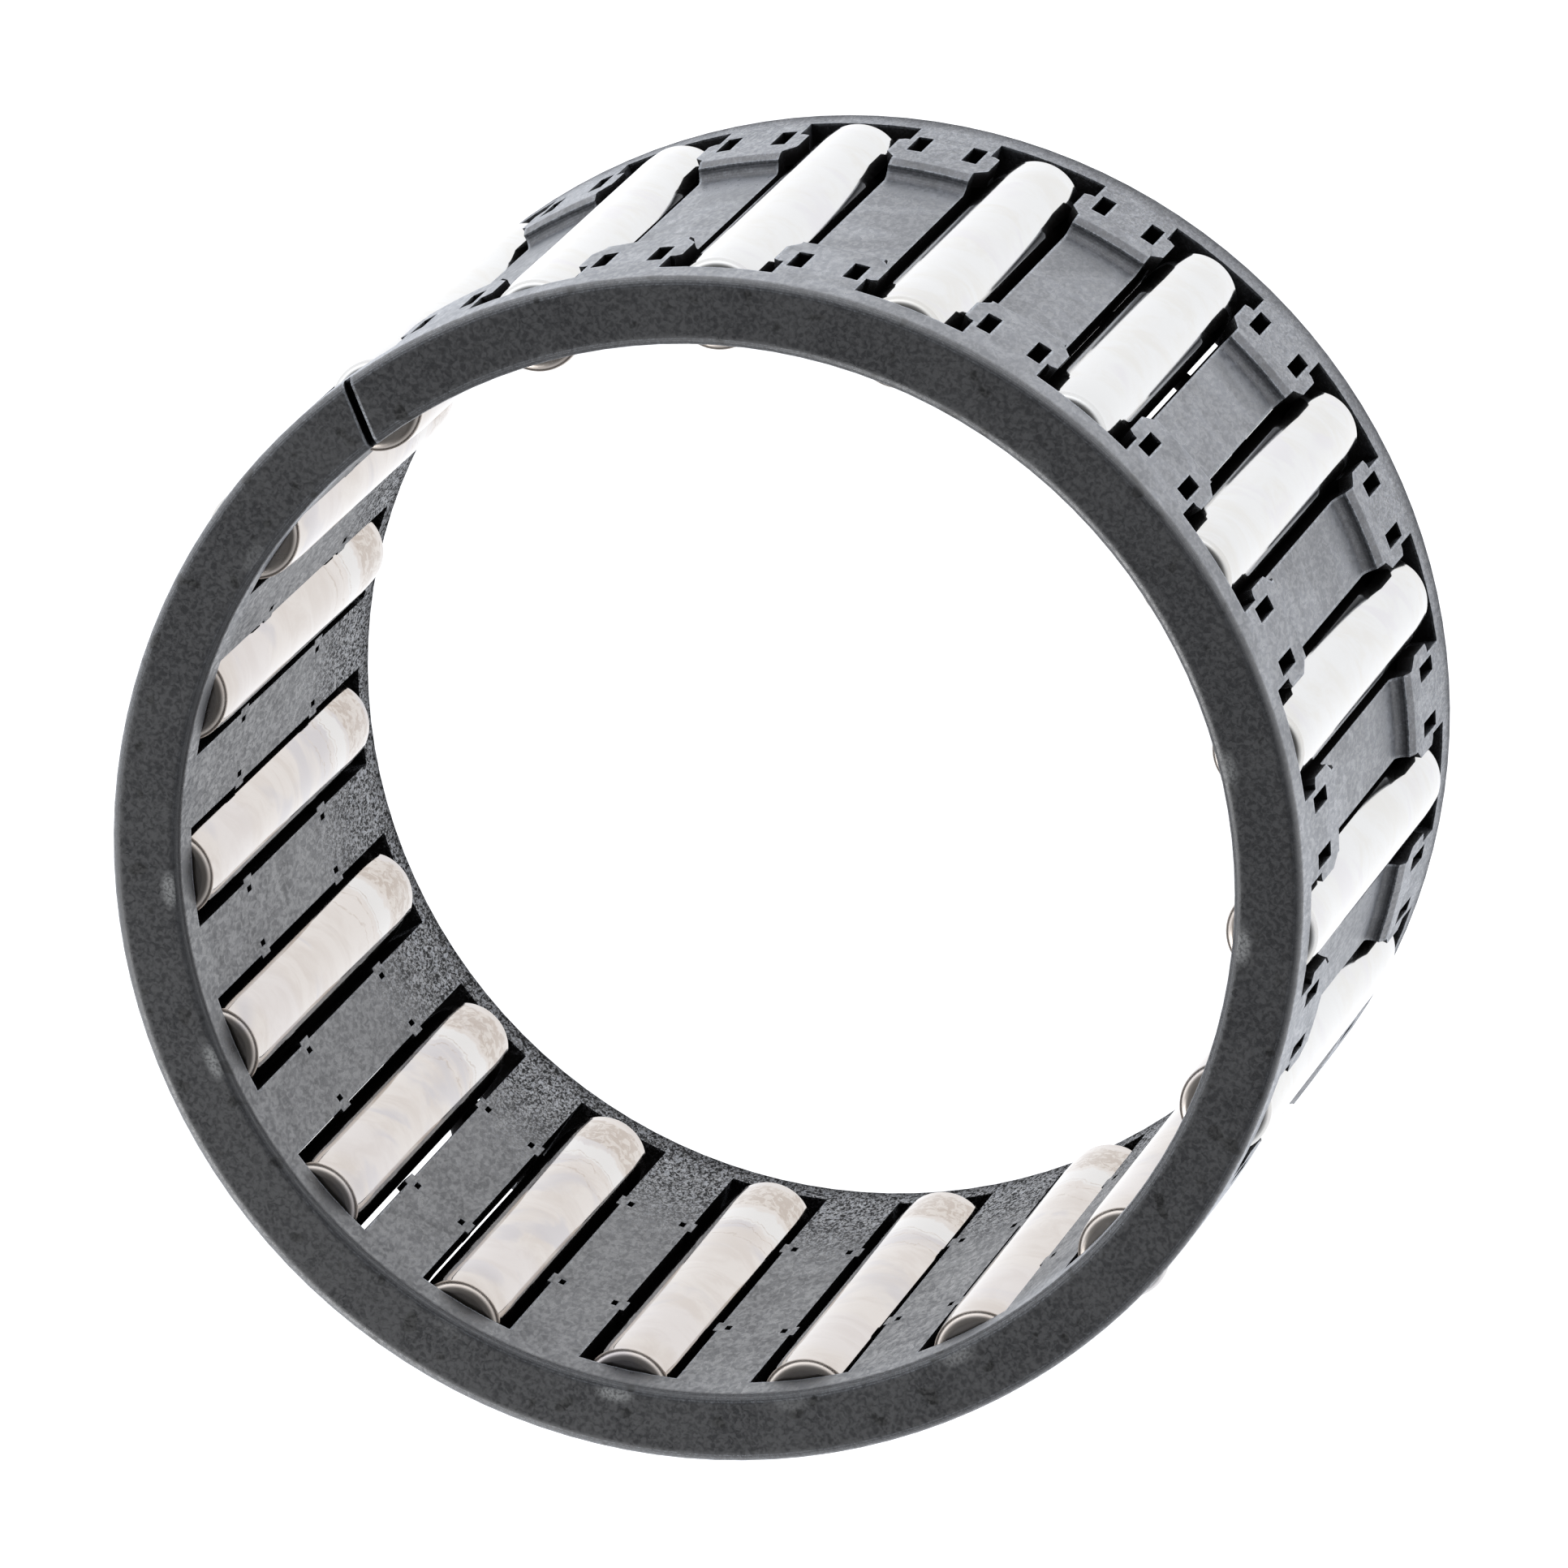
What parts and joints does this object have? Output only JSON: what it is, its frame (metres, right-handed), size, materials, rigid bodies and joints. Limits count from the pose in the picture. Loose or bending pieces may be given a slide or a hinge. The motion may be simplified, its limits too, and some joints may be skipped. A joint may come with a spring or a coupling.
{
  "type": "needle roller bearing",
  "caption": "Needle roller and cage assembly: a moulded plastic ring cage snaps round loose steel needles, each free to spin, to run a shaft directly in a housing bore.",
  "frame": {"origin": "centre of the lower end face, on the bearing axis, as the cage stands on that face", "axes": "+Z along the bearing axis, +X through the axis of the first needle"},
  "size_m": [0.0378, 0.0378, 0.026],
  "materials": {
    "cage_plastic": "moulded glass-fibre filled nylon, near black and matte",
    "needle_steel": "hardened bearing steel, ground and superfinished"
  },
  "bodies": {
    "cage": {"cage": "cage_plastic"},
    "needle_01": {"needle_01": "needle_steel"},
    "needle_02": {"needle_02": "needle_steel"},
    "needle_03": {"needle_03": "needle_steel"},
    "needle_04": {"needle_04": "needle_steel"},
    "needle_05": {"needle_05": "needle_steel"},
    "needle_06": {"needle_06": "needle_steel"},
    "needle_07": {"needle_07": "needle_steel"},
    "needle_08": {"needle_08": "needle_steel"},
    "needle_09": {"needle_09": "needle_steel"},
    "needle_10": {"needle_10": "needle_steel"},
    "needle_11": {"needle_11": "needle_steel"},
    "needle_12": {"needle_12": "needle_steel"},
    "needle_13": {"needle_13": "needle_steel"},
    "needle_14": {"needle_14": "needle_steel"},
    "needle_15": {"needle_15": "needle_steel"},
    "needle_16": {"needle_16": "needle_steel"},
    "needle_17": {"needle_17": "needle_steel"},
    "needle_18": {"needle_18": "needle_steel"},
    "needle_19": {"needle_19": "needle_steel"}
  },
  "joints": [
    {"name": "needle_01_spin", "type": "hinge", "parent": "cage", "child": "needle_01", "pos_m": [0.0175, 0, 0.0133], "axis": [0, 0, 1], "continuous": true},
    {"name": "needle_02_spin", "type": "hinge", "parent": "cage", "child": "needle_02", "pos_m": [0.01655, 0.00568, 0.0133], "axis": [0, 0, 1], "continuous": true},
    {"name": "needle_03_spin", "type": "hinge", "parent": "cage", "child": "needle_03", "pos_m": [0.01381, 0.01075, 0.0133], "axis": [0, 0, 1], "continuous": true},
    {"name": "needle_04_spin", "type": "hinge", "parent": "cage", "child": "needle_04", "pos_m": [0.00957, 0.01465, 0.0133], "axis": [0, 0, 1], "continuous": true},
    {"name": "needle_05_spin", "type": "hinge", "parent": "cage", "child": "needle_05", "pos_m": [0.0043, 0.01696, 0.0133], "axis": [0, 0, 1], "continuous": true},
    {"name": "needle_06_spin", "type": "hinge", "parent": "cage", "child": "needle_06", "pos_m": [-0.00145, 0.01744, 0.0133], "axis": [0, 0, 1], "continuous": true},
    {"name": "needle_07_spin", "type": "hinge", "parent": "cage", "child": "needle_07", "pos_m": [-0.00703, 0.01603, 0.0133], "axis": [0, 0, 1], "continuous": true},
    {"name": "needle_08_spin", "type": "hinge", "parent": "cage", "child": "needle_08", "pos_m": [-0.01185, 0.01288, 0.0133], "axis": [0, 0, 1], "continuous": true},
    {"name": "needle_09_spin", "type": "hinge", "parent": "cage", "child": "needle_09", "pos_m": [-0.01539, 0.00833, 0.0133], "axis": [0, 0, 1], "continuous": true},
    {"name": "needle_10_spin", "type": "hinge", "parent": "cage", "child": "needle_10", "pos_m": [-0.01726, 0.00288, 0.0133], "axis": [0, 0, 1], "continuous": true},
    {"name": "needle_11_spin", "type": "hinge", "parent": "cage", "child": "needle_11", "pos_m": [-0.01726, -0.00288, 0.0133], "axis": [0, 0, 1], "continuous": true},
    {"name": "needle_12_spin", "type": "hinge", "parent": "cage", "child": "needle_12", "pos_m": [-0.01539, -0.00833, 0.0133], "axis": [0, 0, 1], "continuous": true},
    {"name": "needle_13_spin", "type": "hinge", "parent": "cage", "child": "needle_13", "pos_m": [-0.01185, -0.01288, 0.0133], "axis": [0, 0, 1], "continuous": true},
    {"name": "needle_14_spin", "type": "hinge", "parent": "cage", "child": "needle_14", "pos_m": [-0.00703, -0.01603, 0.0133], "axis": [0, 0, 1], "continuous": true},
    {"name": "needle_15_spin", "type": "hinge", "parent": "cage", "child": "needle_15", "pos_m": [-0.00145, -0.01744, 0.0133], "axis": [0, 0, 1], "continuous": true},
    {"name": "needle_16_spin", "type": "hinge", "parent": "cage", "child": "needle_16", "pos_m": [0.0043, -0.01696, 0.0133], "axis": [0, 0, 1], "continuous": true},
    {"name": "needle_17_spin", "type": "hinge", "parent": "cage", "child": "needle_17", "pos_m": [0.00957, -0.01465, 0.0133], "axis": [0, 0, 1], "continuous": true},
    {"name": "needle_18_spin", "type": "hinge", "parent": "cage", "child": "needle_18", "pos_m": [0.01381, -0.01075, 0.0133], "axis": [0, 0, 1], "continuous": true},
    {"name": "needle_19_spin", "type": "hinge", "parent": "cage", "child": "needle_19", "pos_m": [0.01655, -0.00568, 0.0133], "axis": [0, 0, 1], "continuous": true}
  ]
}
